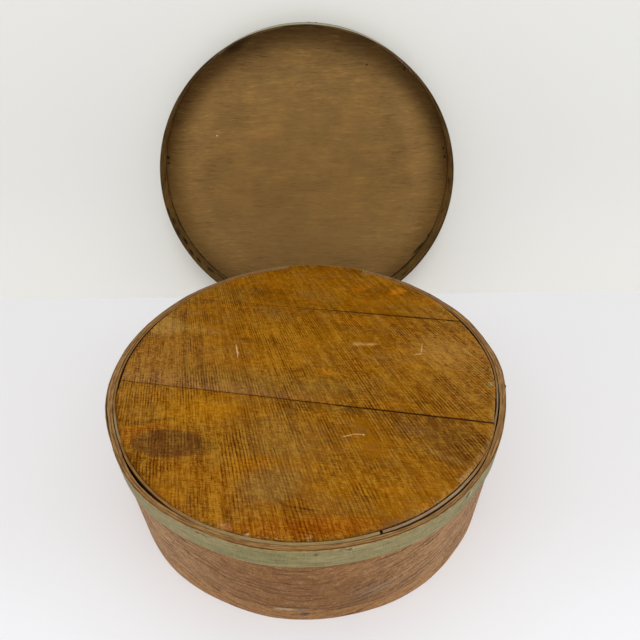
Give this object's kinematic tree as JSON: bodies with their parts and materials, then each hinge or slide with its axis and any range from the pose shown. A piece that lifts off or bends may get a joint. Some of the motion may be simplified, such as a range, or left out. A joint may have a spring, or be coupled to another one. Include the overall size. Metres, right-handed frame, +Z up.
{
  "type": "wooden cheese box",
  "caption": "Round bentwood box with a boarded base, turned mouth down, and its shallow round lid leaning behind it.",
  "frame": {"origin": "on the ground, in the middle of the space that the box and its leaning lid take up", "axes": "+Z up, +Y from the box towards the lid that leans behind it, +X to the right seen from the front"},
  "size_m": [0.4042, 0.5126, 0.4054],
  "materials": {
    "sawn_board": "rough-sawn softwood under worn amber varnish",
    "bent_wall": "worn veneer, dull, scuffed below the lid line",
    "painted_hoop": "worn grey-green paint on wood",
    "liner_strip": "bare aged wood",
    "lid_board": "smooth dull varnish, faint grain",
    "lid_strip": "stained inside, worn grey-green paint outside",
    "iron_fixing": "dull, rusted"
  },
  "bodies": {
    "box": {"base_board_front": "sawn_board", "base_board_middle": "sawn_board", "base_board_back": "sawn_board", "base_liner": "liner_strip", "side_wall": "bent_wall", "base_hoop": "painted_hoop", "base_nail_01": "iron_fixing", "base_nail_02": "iron_fixing", "base_nail_03": "iron_fixing", "base_nail_04": "iron_fixing", "base_nail_05": "iron_fixing", "base_nail_06": "iron_fixing", "base_nail_07": "iron_fixing", "base_nail_08": "iron_fixing", "base_nail_09": "iron_fixing", "base_nail_10": "iron_fixing", "base_nail_11": "iron_fixing", "base_nail_12": "iron_fixing", "base_nail_13": "iron_fixing", "base_nail_14": "iron_fixing", "base_nail_15": "iron_fixing", "base_nail_16": "iron_fixing", "wall_tack_01": "iron_fixing", "wall_tack_02": "iron_fixing", "wall_tack_03": "iron_fixing", "wall_tack_04": "iron_fixing", "wall_tack_05": "iron_fixing"},
    "lid": {"lid_panel": "lid_board", "lid_rim": "lid_strip", "lid_nail_01": "iron_fixing", "lid_nail_02": "iron_fixing", "lid_nail_03": "iron_fixing", "lid_nail_04": "iron_fixing", "lid_nail_05": "iron_fixing", "lid_nail_06": "iron_fixing", "lid_nail_07": "iron_fixing", "lid_nail_08": "iron_fixing", "lid_nail_09": "iron_fixing", "lid_nail_10": "iron_fixing", "lid_nail_11": "iron_fixing", "lid_nail_12": "iron_fixing", "lid_nail_13": "iron_fixing", "lid_nail_14": "iron_fixing", "lid_nail_15": "iron_fixing", "lid_nail_16": "iron_fixing", "lid_nail_17": "iron_fixing", "lid_nail_18": "iron_fixing", "rim_tack_01": "iron_fixing", "rim_tack_02": "iron_fixing"}
  },
  "joints": [
    {"name": "lid_lift", "type": "slide", "parent": "box", "child": "lid", "axis": [0, 0, 1], "range_m": [0, 0.15]}
  ]
}
